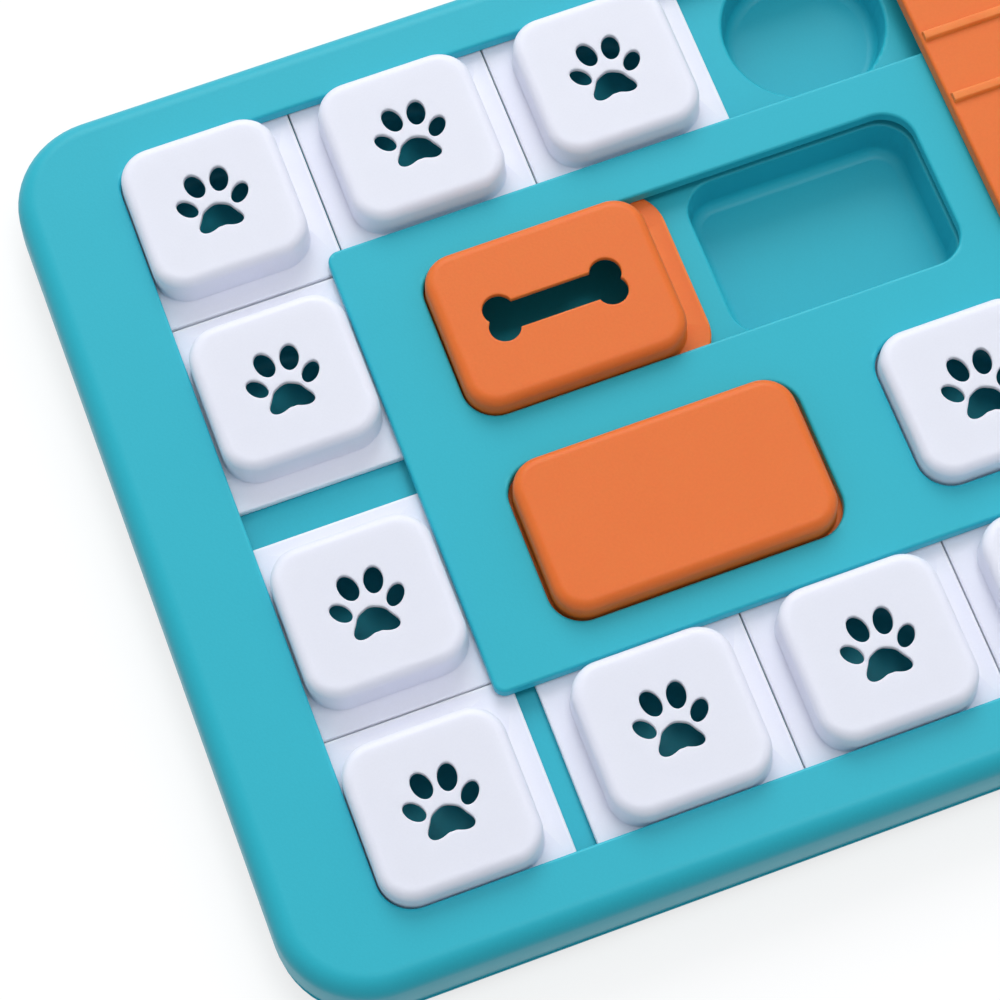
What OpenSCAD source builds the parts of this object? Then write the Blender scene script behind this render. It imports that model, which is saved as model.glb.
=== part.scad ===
// Sliding puzzle feeder board for dogs.
// A two-part tray holds treat cups. Square tiles slide along a closed track around a fixed
// island, three sliders and a squeaking button work in the island, and a ribbed lid flips up.
// X runs along the board, Y towards the far edge, Z up. Z = 0 is the ground under the feet
// and the origin is the middle of the board. All sizes are in millimetres.

/* [Track and cups] */
// Spacing of tiles that touch each other
tile_pitch = 54; // [53:0.5:54]
// Spacing of the cups along the long rows
cup_pitch_x = 54.5; // [54.5:0.5:56]
// Spacing of the cups along the short columns
cup_pitch_y = 57.1; // [57.1:0.5:59]
// Radius of a round cup at its mouth
cup_r = 21.6; // [20:0.2:21.6]
// Half the width of the open channel between the lips
channel_half = 21.8; // [21.8:0.1:22.2]

/* [Heights] */
// Underside of the cups above the ground
base_z = 2; // [1.6:0.1:2.4]
// Depth of a cup below the track floor
cup_depth = 11.9; // [11:0.1:14]
// Height of the rim's top face above the track floor
rim_rise = 6.2; // [6.2:0.1:7]
// Height of the tile tops above the rim
tile_rise = 5.7; // [5.5:0.1:8]

/* [Rim] */
// Width of the rim's top face at the two short ends
rim_end_w = 27.5; // [27:0.5:32]
// Width of the rim's top face along the two long sides
rim_side_w = 17.3; // [17:0.1:20]
// Corner radius of the board outline
corner_r = 24; // [22:0.5:28]
// Radius of the soft shoulder around the rim
shoulder_r = 5.4; // [3:0.1:5.4]
// Thickness of the lips over the track
lip_t = 3.3; // [3:0.1:3.5]

/* [Tiles] */
// Width of the raised block on a tile
block_w = 42; // [40:0.5:42]
// Corner radius of the raised block, seen from above
block_r = 9; // [8:0.1:11]
// Rounding of the top edge of tiles, sliders and button
block_edge_r = 2.8; // [2:0.1:4.6]
// Wall thickness of tiles, sliders and button
shell_t = 2; // [1.6:0.1:2.2]
// Thickness of the tops that have holes in them
cap_t = 1.4; // [1.2:0.1:2.2]

/* [Island] */
// Margin from the island's left edge to the bone slot
island_left_m = 19.6; // [17:0.2:22]
// Margin from the island's right edge to the lane
island_right_m = 13.2; // [13:0.1:16]
// Margin from the island's far edge to the bone slot
island_far_m = 12.65; // [12:0.05:13]
// Margin from the island's near edge to the button and the lane
island_near_m = 10.3; // [10:0.1:11]

/* [Bone slider and button] */
// Length of the bone slider's block
bone_block_l = 59.8; // [54:0.2:62]
// Width of the bone slider's block
bone_block_w = 44.9; // [40:0.1:45.2]
// Travel of the bone slider
bone_travel = 74.8; // [66:0.2:76]
// Length of the bone-shaped hole
bone_hole_l = 37.3; // [30:0.1:42]
// Length of the squeaking button
button_l = 75.4; // [60:0.2:78]
// Width of the squeaking button
button_w = 43.4; // [38:0.1:43.6]
// Travel of the squeaking button
button_travel = 3.5; // [2:0.1:6]

/* [Lid] */
// Length of the lid along the board
lid_l = 110.4; // [104:0.2:111]
// Width of rim left open beyond the lid's far edge
lid_far_m = 9.2; // [8:0.1:12]
// Height of the lid from its lower edge to its top
lid_t = 4.2; // [4:0.1:5]
// Spacing of the grip ribs on the lid
rib_pitch = 19.4; // [12:0.2:21]
// Radius of the hinge pin
pin_r = 1; // [0.8:0.1:1.4]

/* [Hidden] */
$fn = 64;

teal = [0.24, 0.68, 0.76];
white = [0.90, 0.92, 0.96];
orange = [0.91, 0.47, 0.26];
dark = [0.13, 0.13, 0.15];

gap = 0.3;                                  // running clearance between moving pieces
play = 0.8;                                 // sideways play of a plate in its track
floor_t = 1.8;                              // thickness of floors and cup walls
cup_floor = base_z + floor_t;               // inside floor of every cup
track_z = cup_floor + cup_depth;            // track floor that the plates slide on
rim_z = track_z + rim_rise;                 // top of the rim and island
lip_z = rim_z - lip_t;                      // underside of the lips
tile_top = rim_z + tile_rise;               // tops of the tiles and sliders
plate_z = track_z + gap;                    // underside of the sliding plates
plate_t = 2.2;                              // thickness of the sliding plates
plate_w = tile_pitch - 0.4;                 // width of a tile's plate
track_half = plate_w / 2 + play;            // half the width of the covered track
nudge = 0.5;                                // shift of the corner tiles towards the corners
block_lean = 0.15;                          // how far the walls of a block lean in over their height
hollow_r = 1.6;                             // rounding of a hollow's upper edge

col_x = 3 * cup_pitch_x;                    // middle of the short columns
row_y = 1.5 * cup_pitch_y;                  // middle of the long rows
board_l = 2 * (col_x + channel_half + rim_end_w);
board_w = 2 * (row_y + channel_half + rim_side_w);
skirt_t = 2.4;                              // wall of the rim's skirt
seam_z = base_z + 6;                        // seam between the rim and the tray
tray_edge_z = base_z + 0.8;                 // lower edge of the tray's outer wall

island_l = 2 * (col_x - channel_half);
island_w = 2 * (row_y - channel_half);
plateau_l = 2 * (col_x - track_half);
plateau_w = 2 * (row_y - track_half);

// Slots in the island are [middle x, middle y, length, width].
slot_r = 9;                                 // corner radius of the slots
edge_r = 0.8;                               // rounding of moulded top edges
bone_slot_l = bone_block_l + bone_travel + play;
bone_slot_w = bone_block_w + 0.7;
bone_slot = [island_left_m + (bone_slot_l - island_l) / 2,
    (island_w - bone_slot_w) / 2 - island_far_m, bone_slot_l, bone_slot_w];
bone_x = bone_slot[0] - (bone_slot_l - bone_block_l) / 2 + play / 2;
bone_plate_m = [6, 4.85];                   // plate beyond the bone block, along and across
bone_plate = [bone_block_l, bone_block_w] + 2 * bone_plate_m;
bone_plate_r = 12;                          // corner radius of the bone slider's plate
bone_pocket = [bone_slot_l, bone_block_w] + 2 * bone_plate_m + [play, play];
bone_cup = [62, bone_slot_w];               // treat cups under the bone slider

button_slot_l = button_l + 2.6;
button_slot_w = button_w + 1.2;
button_slot = [island_left_m + 0.8 + (button_slot_l - island_l) / 2,
    (button_slot_w - island_w) / 2 + island_near_m, button_slot_l, button_slot_w];
button_x = button_slot[0] - 0.3;            // the button rests a little to the left
flange = [button_l, button_w] + [7.4, 5.8]; // captive flange of the button
flange_t = 1.6;
flange_z = lip_z - gap - flange_t;          // underside of the flange at rest
button_well = flange + [1.4, play];

lane_slot_l = block_w + 2 * tile_pitch + 1;
lane_slot_w = block_w + 1.1;
lane_slot = [(island_l - lane_slot_l) / 2 - island_right_m,
    (lane_slot_w - island_w) / 2 + island_near_m + 1, lane_slot_l, lane_slot_w];
lane_plate = [plate_w, block_w + 8];        // plate under a lane slider
lane_pocket = lane_plate + [2 * tile_pitch + 2 * gap, play];
lane_x = lane_slot[0] - tile_pitch;         // rest place of the first lane slider

treat_slot_l = 94;
treat_slot_w = 40;
treat_slot = [(island_l - treat_slot_l) / 2 - 15.6,
    (island_w - treat_slot_w) / 2 - 11.8, treat_slot_l, treat_slot_w];

lid_x0 = col_x - tile_pitch / 2 - 2.2 - lid_l;
lid_y0 = treat_slot[1] - treat_slot_w / 2 - 4;
lid_d = board_w / 2 - lid_far_m - lid_y0;
lid_z = rim_z + gap;                        // lower edge of the lid
lid_edge_r = 0.9;                           // rounding of the lid's top edge
grip_h = 1.2;                               // height of a grip rib
knuckle_r = pin_r + 1.5;
hinge_y = lid_y0 - knuckle_r - 1.1;
hinge_z = lid_z + knuckle_r + 0.1;
ear_l = 8;                                  // length of each island hinge ear
knuckle_m = [20.5, 20.3];                   // from the lid's ends to its hinge knuckle
knuckle_x = [lid_x0 + knuckle_m[0], lid_x0 + lid_l - knuckle_m[1]];

screw_r = 1.1;
head_r = 2.1;
head_t = 1.6;
head_z = base_z + 6.2;                      // seat of the screw heads
screw_cover = 2;                            // plastic left over the tips of the screws
recess = [2.6, 0.6];                        // cross recess in the screw heads
post_r = 2.2;                               // hanging screw posts
end_screw_m = 11.3;                         // from the board's ends to their screws
end_screw_y = 45;                           // from the middle line to the screws at the ends
side_screw_m = 6.8;                         // from the long sides to their screws
wall_screw_m = 30;                          // from the button's middle to the screw in the wall beside it
wall_between_y = (bone_slot[1] - bone_pocket[1] / 2 + lane_slot[1] + lane_pocket[1] / 2) / 2;
frame_posts = concat(
    [for (sx = [-1, 1], sy = [-1, 1]) [sx * (board_l / 2 - end_screw_m), sy * end_screw_y]],
    [for (i = [-2, 0, 2], sy = [-1, 1]) [i * cup_pitch_x, sy * (board_w / 2 - side_screw_m)]]);
island_posts = [
    [(button_slot[0] - button_well[0] / 2 - plateau_l / 2) / 2, button_slot[1]],
    [(button_slot[0] + button_well[0] / 2 + lane_slot[0] - lane_pocket[0] / 2) / 2, button_slot[1]],
    [button_slot[0] - wall_screw_m, wall_between_y],
    [0, wall_between_y],
    [(bone_slot[0] + bone_pocket[0] / 2 + treat_slot[0] - treat_slot_l / 2) / 2, bone_slot[1]],
    [(treat_slot[0] + treat_slot_l / 2 + plateau_l / 2) / 2, treat_slot[1]]];
foot_r = 8;
foot_m = [16.8, 20.8];                      // from the board's edges to the middles of the corner feet
foot_spots = concat(
    [for (sx = [-1, 1], sy = [-1, 1]) [sx * (board_l / 2 - foot_m[0]), sy * (board_w / 2 - foot_m[1])]],
    [for (sx = [-1, 1], sy = [-1, 1]) [sx * cup_pitch_x / 2, sy * (board_w / 2 - foot_m[0])]]);

// ---- shared shapes ----

// Sweeps a 2D profile around a rounded rectangle. The profile's x is measured outwards from
// the middle of the corner arcs, so x = r is the outline itself.
module sweep_around(l, w, r) {
    for (s = [0:3]) rotate(90 * s) {
        cx = (s % 2 == 0 ? l : w) / 2 - r;
        cy = (s % 2 == 0 ? w : l) / 2 - r;
        translate([cx, cy, 0]) {
            rotate_extrude(angle = 90) children();
            rotate([90, 0, 0]) linear_extrude(2 * cy) children();
        }
    }
}

// A solid rounded block from z0 to z1 whose swept profile fills the corner arcs.
module rounded_solid(l, w, r, z0, z1) {
    sweep_around(l, w, r) children();
    translate([r - l / 2, r - w / 2, z0]) cube([l - 2 * r, w - 2 * r, z1 - z0]);
}

// The area outside a convex quarter circle of radius f in the corner at the origin.
module corner_waste(f) {
    translate([-f, -f]) difference() {
        square(2 * f);
        circle(f);
    }
}

// Profile of a wall that leans in by draft and has a rounded top edge.
module block_profile(r, z0, z1, draft, f) {
    x1 = r - draft * (1 - f / (z1 - z0));   // where the wall meets the rounding
    difference() {
        polygon([[0, z0], [r, z0], [x1, z1 - f], [x1, z1], [0, z1]]);
        translate([x1, z1]) corner_waste(f);
    }
}

// Profile of a cup to be cut: a drafted wall, a floor fillet and a rounded mouth.
module cup_profile(r, z0, z1, draft, fillet, mouth) {
    x0 = r - draft * (1 - fillet / (z1 - mouth - z0));  // where the wall meets the fillet
    difference() {
        polygon([[0, z0], [x0, z0], [x0, z0 + fillet], [r, z1 - mouth], [r, z1],
            [r + mouth, z1], [r + mouth, z1 + 6], [0, z1 + 6]]);
        translate([x0, z0]) mirror([0, 1]) corner_waste(fillet);
    }
    translate([r, z1 - mouth]) difference() {
        square(mouth);
        translate([mouth, 0]) circle(mouth);
    }
}

module rounded_plate(l, w, r, z0, z1) {
    rounded_solid(l, w, r, z0, z1) translate([0, z0]) square([r, z1 - z0]);
}

// A slot through a plate whose top edge is softly rounded.
module slot_cut(slot, r) {
    translate([slot[0], slot[1], 0]) rounded_solid(slot[2], slot[3], r, lip_z - 1, rim_z + 1) {
        translate([0, lip_z - 1]) square([r, lip_t + 2]);
        translate([r, rim_z - edge_r]) difference() {
            square([edge_r, edge_r + 1]);
            translate([edge_r, 0]) circle(edge_r);
        }
    }
}

// ---- cups ----

module round_cup_cut() {
    rotate_extrude() cup_profile(cup_r, cup_floor, track_z, 1.2, 3, 1);
}

module round_cup_shell() {
    translate([0, 0, base_z]) cylinder(h = track_z - base_z, r = cup_r + floor_t);
}

module box_cup_cut(l, w, r) {
    rounded_solid(l, w, r, cup_floor, track_z + 6) cup_profile(r, cup_floor, track_z, 1.2, 3, 0.8);
}

module box_cup_shell(l, w, r) {
    rounded_plate(l + 2 * floor_t, w + 2 * floor_t, r + floor_t, base_z, track_z);
}

module at_track_cups() {
    for (i = [-3:3], sy = [-1, 1]) translate([i * cup_pitch_x, sy * row_y, 0]) children();
    for (sx = [-1, 1], sy = [-1, 1]) translate([sx * col_x, sy * cup_pitch_y / 2, 0]) children();
}

module at_lane_cups() {
    for (i = [0:2]) translate([lane_x + i * tile_pitch, lane_slot[1], 0]) children();
}

module at_bone_cups() {
    for (s = [-1, 1]) translate([bone_slot[0] + s * (bone_slot_l - bone_cup[0] - play) / 2, bone_slot[1], 0])
        children();
}

module at_treat_cup() {
    translate([treat_slot[0], treat_slot[1], 0]) children();
}

// ---- base tray ----

// Cuts a sunken pocket through the plateau, down to floor_z, for a piece that moves in it.
module pocket(slot, size, r, floor_z) {
    translate([slot[0], slot[1], 0]) rounded_plate(size[0], size[1], r, floor_z, rim_z);
}

module tray_wall() {
    // the profile hangs as an upside-down channel around the outline
    sweep_around(board_l, board_w, corner_r) difference() {
        union() {
            translate([corner_r - 5.2, tray_edge_z]) square([2, track_z - tray_edge_z]);
            translate([corner_r - 5.2, seam_z - 2.2]) square([4.6, 1.8]);
            translate([corner_r - 2.4, tray_edge_z]) square([1.8, seam_z - 0.4 - tray_edge_z]);
            translate([corner_r - 2.4, tray_edge_z]) square([2.1, 1.2]);
        }
        translate([corner_r - 0.3, tray_edge_z]) mirror([0, 1]) corner_waste(0.6);
    }
}

// short pillars in the button's well that end its travel
module button_stops() {
    for (sx = [-1, 1], sy = [-1, 1])
        translate([button_slot[0] + sx * (flange[0] / 2 - 5), button_slot[1] + sy * (flange[1] / 2 - 5), base_z])
            cylinder(h = flange_z - button_travel - gap - base_z, r = 2.5);
}

module tray_ribs() {
    rib_z = base_z + 3;
    rib_h = track_z - 1 - rib_z;
    for (i = [-2.5:2.5]) translate([i * cup_pitch_x - 0.8, 4 - board_w / 2, rib_z])
        cube([1.6, board_w - 8, rib_h]);
    for (i = [-1, 0, 1]) translate([4 - board_l / 2, i * cup_pitch_y - 0.8, rib_z])
        cube([board_l - 8, 1.6, rib_h]);
}

module screw_boss() {
    translate([0, 0, base_z]) cylinder(h = track_z - base_z, r = head_r + 1.6);
}

module screw_boss_cut() {
    translate([0, 0, base_z - 1]) cylinder(h = head_z - base_z + 1, r = head_r + 0.3);
    translate([0, 0, base_z]) cylinder(h = lip_z - base_z, r = screw_r + 0.2);
}

module foot_boss() {
    translate([0, 0, base_z]) cylinder(h = track_z - base_z, r = foot_r + 1);
}

module base_tray() {
    color(teal) difference() {
        union() {
            tray_wall();
            rounded_plate(board_l - 8, board_w - 8, corner_r - 4, track_z - 2, track_z);
            // covered track walls that carry the rim and the island
            difference() {
                rounded_plate(2 * (col_x + track_half) + 4, 2 * (row_y + track_half) + 4, 7, track_z - 1, lip_z);
                rounded_plate(2 * (col_x + track_half), 2 * (row_y + track_half), 5, track_z, rim_z);
            }
            rounded_plate(plateau_l, plateau_w, 4, track_z - 1, lip_z);
            at_track_cups() round_cup_shell();
            at_lane_cups() round_cup_shell();
            at_bone_cups() box_cup_shell(bone_cup[0], bone_cup[1], slot_r);
            at_treat_cup() box_cup_shell(treat_slot_l - 4, treat_slot_w - 4, slot_r);
            translate([button_slot[0], button_slot[1], 0]) rounded_plate(button_well[0] + 2 * floor_t,
                button_well[1] + 2 * floor_t, 6 + floor_t, base_z, track_z);
            tray_ribs();
            for (p = frame_posts) translate([p[0], p[1], 0]) screw_boss();
            for (p = island_posts) translate([p[0], p[1], 0]) screw_boss();
            for (p = foot_spots) translate([p[0], p[1], 0]) foot_boss();
        }
        at_track_cups() round_cup_cut();
        at_lane_cups() round_cup_cut();
        at_bone_cups() box_cup_cut(bone_cup[0], bone_cup[1], slot_r);
        at_treat_cup() box_cup_cut(treat_slot_l - 4, treat_slot_w - 4, slot_r);
        pocket(bone_slot, bone_pocket, 6, track_z);
        pocket(lane_slot, lane_pocket, 5, track_z);
        pocket(treat_slot, [treat_slot_l, treat_slot_w], slot_r, track_z);
        difference() {
            pocket(button_slot, button_well, 6, cup_floor);
            button_stops();
        }
        for (p = frame_posts) translate([p[0], p[1], 0]) screw_boss_cut();
        for (p = island_posts) translate([p[0], p[1], 0]) {
            screw_boss_cut();
            translate([0, 0, track_z]) cylinder(h = rim_rise, r = post_r + 0.1);
        }
        for (p = foot_spots) translate([p[0], p[1], base_z - 1]) cylinder(h = 7, r = 3);
    }
}

// ---- top rim and island ----

module hanging_post() {
    difference() {
        translate([0, 0, track_z]) cylinder(h = lip_z - track_z + 0.5, r = post_r);
        translate([0, 0, track_z - 1]) cylinder(h = rim_z - track_z - 0.4, r = screw_r + 0.05);
    }
}

module top_rim() {
    color(teal) {
        difference() {
            rounded_solid(board_l, board_w, corner_r, seam_z, rim_z)
                block_profile(corner_r, seam_z, rim_z, 0.3, shoulder_r);
            rounded_solid(board_l - 2 * skirt_t, board_w - 2 * skirt_t, corner_r - skirt_t, seam_z - 1, lip_z)
                block_profile(corner_r - skirt_t, seam_z - 1, lip_z, 0.3, 3);
            slot_cut([0, 0, 2 * (col_x + channel_half), 2 * (row_y + channel_half)], block_r);
            for (p = frame_posts) translate([p[0], p[1], track_z])
                cylinder(h = rim_rise - 1.4, r = screw_r + 0.05);
        }
        for (p = frame_posts) translate([p[0], p[1], 0]) hanging_post();
    }
}

module hinge_ear(x) {
    translate([x, hinge_y, hinge_z]) rotate([0, 90, 0]) cylinder(h = ear_l, r = knuckle_r);
    translate([x, hinge_y - knuckle_r, rim_z - 0.5]) cube([ear_l, 2 * knuckle_r, hinge_z - rim_z + 0.5]);
}

module island_panel() {
    color(teal) difference() {
        union() {
            rounded_solid(island_l, island_w, 3, lip_z, rim_z)
                block_profile(3, lip_z, rim_z, 0, edge_r);
            for (p = island_posts) translate([p[0], p[1], track_z])
                cylinder(h = lip_z - track_z + 0.5, r = post_r);
            hinge_ear(knuckle_x[0] - gap - ear_l);
            hinge_ear(knuckle_x[1] + gap);
        }
        slot_cut(bone_slot, slot_r);
        slot_cut(button_slot, slot_r);
        slot_cut(lane_slot, slot_r);
        slot_cut(treat_slot, slot_r);
        for (p = island_posts) translate([p[0], p[1], track_z - 1])
            cylinder(h = rim_rise - 0.4, r = screw_r + 0.05);
        translate([knuckle_x[0] - 20, hinge_y, hinge_z]) rotate([0, 90, 0])
            cylinder(h = knuckle_x[1] - knuckle_x[0] + 40, r = pin_r);
    }
}

// ---- sliding tiles ----

paw_drop = 5.3;                             // main pad's middle below the tile's middle
// Toes as [place across, place up from the pad, lean, half the length, half the width].
paw_toes = [[3.3, 10.65, 13, 3.67, 2.47], [7.1, 5.05, 38, 3.2, 2.1]];

// Outline of the paw's main pad: a circle bent by a few even waves around its middle.
function pad_r(a) = 4.5 + 0.3 * cos(a) - 1.1 * cos(2 * a) + 0.8 * cos(3 * a)
    - 0.1 * cos(4 * a) - 0.25 * cos(5 * a) + 0.2 * cos(6 * a);

module pad() {
    polygon([for (i = [0:39]) let (a = i * 9) pad_r(a) * [-sin(a), cos(a)]]);
}

module toe(x, y, lean, a, b) {
    translate([x, y]) rotate(-lean)
        polygon([for (i = [0:19]) [b * cos(i * 18), a * sin(i * 18)]]);
}

module paw_hole(z0, z1) {
    translate([0, -paw_drop, z0]) linear_extrude(z1 - z0) {
        pad();
        for (s = [-1, 1], t = paw_toes) toe(s * t[0], t[1], s * t[2], t[3], t[4]);
    }
}

// A hollow rounded block standing on a thin sliding plate, open underneath.
module slider_body(block, r, plate, plate_r, block_h) {
    difference() {
        union() {
            rounded_solid(plate[0], plate[1], plate_r, 0, plate_t)
                block_profile(plate_r, 0, plate_t, 0, 0.5);
            rounded_solid(block[0], block[1], r, plate_t - 0.5, block_h)
                block_profile(r, plate_t - 0.5, block_h, block_lean, block_edge_r);
        }
        rounded_solid(block[0] - 2 * shell_t - 1, block[1] - 2 * shell_t - 1, r - shell_t, -1, block_h - cap_t)
            block_profile(r - shell_t, -1, block_h - cap_t, block_lean, hollow_r);
    }
}

module tile(x, y) {
    color(white) translate([x, y, plate_z]) difference() {
        slider_body([block_w, block_w], block_r, [plate_w, plate_w], 4, tile_top - plate_z);
        paw_hole(tile_top - plate_z - cap_t - 1, tile_top - plate_z + 1);
    }
}

module lane_slider(i) {
    color(white) translate([lane_x + i * tile_pitch, lane_slot[1], plate_z]) difference() {
        slider_body([block_w, block_w], slot_r - 0.4, lane_plate, 5, tile_top - plate_z);
        paw_hole(tile_top - plate_z - cap_t - 1, tile_top - plate_z + 1);
    }
}

// rest places along the track
left_x = -col_x - nudge;
top_y = row_y + nudge;
bottom_y = -row_y - nudge;
stack_gap = 5;                              // gap beside the bottom left corner tile

module tile_top_1() tile(left_x, top_y);
module tile_top_2() tile(left_x + tile_pitch, top_y);
module tile_top_3() tile(left_x + 2 * tile_pitch, top_y);
module tile_left_1() tile(-col_x, top_y - tile_pitch - 0.2);
module tile_left_2() tile(-col_x - 0.2, bottom_y + tile_pitch);
module tile_corner_left() tile(left_x, bottom_y);
module tile_bottom_1() tile(left_x + tile_pitch + stack_gap, bottom_y);
module tile_bottom_2() tile(left_x + 2 * tile_pitch + stack_gap, bottom_y);
module tile_bottom_3() tile(left_x + 3 * tile_pitch + stack_gap, bottom_y);
module tile_corner_right() tile(col_x, -row_y);
module tile_right_1() tile(col_x, row_y);
module tile_right_2() tile(col_x, row_y - tile_pitch);

// ---- bone slider ----

module bone_hole(z0, z1) {
    lobe_r = 4.15;
    lobe_x = bone_hole_l / 2 - lobe_r;
    translate([0, 0, z0]) linear_extrude(z1 - z0) {
        square([2 * lobe_x, 8], center = true);
        for (sx = [-1, 1], sy = [-1, 1]) translate([sx * lobe_x, sy * 2.55]) circle(lobe_r);
    }
}

module bone_slider() {
    color(orange) translate([bone_x, bone_slot[1], plate_z]) difference() {
        slider_body([bone_block_l, bone_block_w], slot_r - 0.4, bone_plate, bone_plate_r, tile_top - plate_z);
        bone_hole(tile_top - plate_z - cap_t - 1, tile_top - plate_z + 1);
    }
}

module lane_slider_1() lane_slider(0);
module lane_slider_2() lane_slider(1);

// ---- squeaking button ----

module squeak_button() {
    z0 = flange_z;
    hollow = [button_l, button_w] - [2 * shell_t + 1, 2 * shell_t + 1];
    color(orange) translate([button_x, button_slot[1], 0]) difference() {
        union() {
            rounded_plate(flange[0], flange[1], 5.6, z0, z0 + flange_t);
            rounded_solid(button_l, button_w, slot_r - 0.4, z0 + 0.5, tile_top)
                block_profile(slot_r - 0.4, z0 + 0.5, tile_top, block_lean, block_edge_r);
        }
        rounded_solid(hollow[0], hollow[1], slot_r - 2, z0 - 1, tile_top - shell_t)
            block_profile(slot_r - 2, z0 - 1, tile_top - shell_t, block_lean, hollow_r);
    }
}

bellows_top = tile_top - shell_t - gap;
bellows_r = 14;

module squeaker_bellows() {
    z0 = cup_floor + gap;
    pleat = (bellows_top - z0 - 2) / 3;
    color(white) translate([button_x, button_slot[1], 0]) rotate_extrude() difference() {
        polygon(concat([[0, z0]], [for (i = [0:2], q = [0, 1]) [q == 0 ? bellows_r - 3 : bellows_r,
            z0 + 1 + (i + q / 2) * pleat]], [[bellows_r - 3, bellows_top - 1], [bellows_r - 4, bellows_top],
            [0, bellows_top]]));
        polygon(concat([[0, z0 + 1.5]],
            [for (i = [0:2], q = [0, 1]) [q == 0 ? bellows_r - 4.5 : bellows_r - 1.5,
                z0 + 1.5 + (i + q / 2) * (pleat - 0.3)]],
            [[bellows_r - 5.5, bellows_top - 1.6], [0, bellows_top - 1.6]]));
        translate([0, z0 - 1]) square([4.5, 4]);
    }
}

module squeaker_reed() {
    color(dark) translate([button_x, button_slot[1], cup_floor + gap]) difference() {
        union() {
            cylinder(h = 6, r = 4.4);
            translate([0, 0, 1.6]) cylinder(h = 1, r = 6);
        }
        translate([0, 0, 1]) cylinder(h = 6, r = 2.4);
        translate([0, 0, -1]) cylinder(h = 3, r = 0.8);
    }
}

// ---- flip lid ----

// grip ribs: low flat bars with sloping sides and eased edges
module lid_ribs() {
    first = lid_y0 + lid_d - 11.2 - 3 * rib_pitch;
    for (i = [0:3]) translate([lid_x0 + lid_edge_r, first + i * rib_pitch, lid_z + lid_t])
        rotate([90, 0, 90]) linear_extrude(lid_l - 2 * lid_edge_r)
            polygon([[-1.6, -0.5], [-1.25, 0.8], [-0.95, grip_h], [0.95, grip_h], [1.25, 0.8], [1.6, -0.5]]);
}

module flip_lid() {
    z0 = lid_z;
    mid = [lid_x0 + lid_l / 2, lid_y0 + lid_d / 2];
    color(orange) difference() {
        union() {
            translate([mid[0], mid[1], 0]) rounded_solid(lid_l, lid_d, 4, z0, z0 + lid_t)
                block_profile(4, z0, z0 + lid_t, 0.2, lid_edge_r);
            lid_ribs();
            translate([knuckle_x[0], hinge_y, hinge_z]) rotate([0, 90, 0])
                cylinder(h = knuckle_x[1] - knuckle_x[0], r = knuckle_r);
            translate([knuckle_x[0], hinge_y, hinge_z - 1.2])
                cube([knuckle_x[1] - knuckle_x[0], lid_y0 - hinge_y + 1, 2.2]);
        }
        translate([mid[0], mid[1], 0])
            rounded_plate(lid_l - 4.4, lid_d - 4.4, 2, z0 - 1, z0 + lid_t - 2);
        translate([knuckle_x[0] - 1, hinge_y, hinge_z]) rotate([0, 90, 0])
            cylinder(h = knuckle_x[1] - knuckle_x[0] + 2, r = pin_r + 0.08);
    }
}

module hinge_pin() {
    color("silver") translate([knuckle_x[0] - gap - ear_l, hinge_y, hinge_z]) rotate([0, 90, 0])
        cylinder(h = knuckle_x[1] - knuckle_x[0] + 2 * (gap + ear_l), r = pin_r);
}

// ---- feet and screws ----

module foot(i) {
    color(dark) translate([foot_spots[i][0], foot_spots[i][1], 0]) {
        rotate_extrude() difference() {
            square([foot_r, base_z]);
            translate([foot_r, 0]) mirror([0, 1]) corner_waste(0.8);
        }
        translate([0, 0, base_z - 0.5]) cylinder(h = 5.5, r = 2.95);
    }
}

module foot_1() foot(0);
module foot_2() foot(1);
module foot_3() foot(2);
module foot_4() foot(3);
module foot_5() foot(4);
module foot_6() foot(5);
module foot_7() foot(6);
module foot_8() foot(7);

module case_screw() {
    difference() {
        translate([0, 0, head_z - head_t]) cylinder(h = head_t, r = head_r);
        for (a = [0, 90]) rotate(a) translate([-recess[0] / 2, -recess[1] / 2, head_z - head_t - 1])
            cube([recess[0], recess[1], 2]);
    }
    translate([0, 0, head_z - 0.5]) cylinder(h = rim_z - screw_cover - head_z, r = screw_r);
}

module case_screws() {
    color("silver") for (p = concat(frame_posts, island_posts)) translate([p[0], p[1], 0]) case_screw();
}

base_tray();
top_rim();
island_panel();
tile_top_1();
tile_top_2();
tile_top_3();
tile_left_1();
tile_left_2();
tile_corner_left();
tile_bottom_1();
tile_bottom_2();
tile_bottom_3();
tile_corner_right();
tile_right_1();
tile_right_2();
bone_slider();
lane_slider_1();
lane_slider_2();
squeak_button();
squeaker_bellows();
squeaker_reed();
flip_lid();
hinge_pin();
foot_1();
foot_2();
foot_3();
foot_4();
foot_5();
foot_6();
foot_7();
foot_8();
case_screws();
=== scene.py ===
import math

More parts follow.
